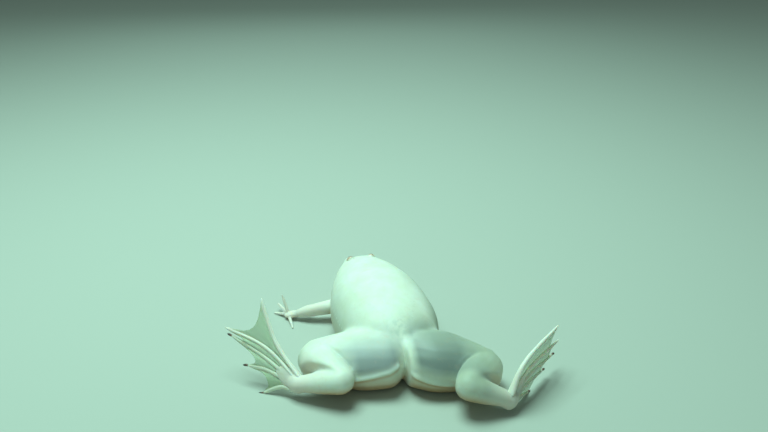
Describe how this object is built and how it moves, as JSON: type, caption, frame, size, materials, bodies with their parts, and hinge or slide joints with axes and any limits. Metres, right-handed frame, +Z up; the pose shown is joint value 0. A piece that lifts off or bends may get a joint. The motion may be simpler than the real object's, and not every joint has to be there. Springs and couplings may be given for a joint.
{
  "type": "african clawed frog",
  "caption": "Life-size plump pale frog resting flat with folded hind legs, webbed feet fanned out and arms forward.",
  "frame": {"origin": "middle of the belly's flat on the floor", "axes": "+Y along the body towards the snout, +X to the frog's right, +Z up"},
  "size_m": [0.1532, 0.1357, 0.0374],
  "materials": {
    "skin": "smooth, wet ivory skin",
    "limb_skin": "smooth, thin pinkish skin",
    "web": "thin, partly see-through membrane",
    "eye": "glossy red eye",
    "claw": "dark horn"
  },
  "bodies": {
    "root": {"head": "skin", "torso": "skin", "eye_left": "eye", "eye_right": "eye", "upper_arm_left": "limb_skin", "forearm_left": "limb_skin", "hand_left": "limb_skin", "upper_arm_right": "limb_skin", "forearm_right": "limb_skin", "hand_right": "limb_skin", "thigh_left": "skin", "shank_left": "skin", "tarsus_left": "limb_skin", "foot_left": "web", "thigh_right": "skin", "shank_right": "skin", "tarsus_right": "limb_skin", "foot_right": "web", "claw_left_1": "claw", "claw_left_2": "claw", "claw_left_3": "claw", "claw_right_1": "claw", "claw_right_2": "claw", "claw_right_3": "claw"}
  },
  "joints": []
}
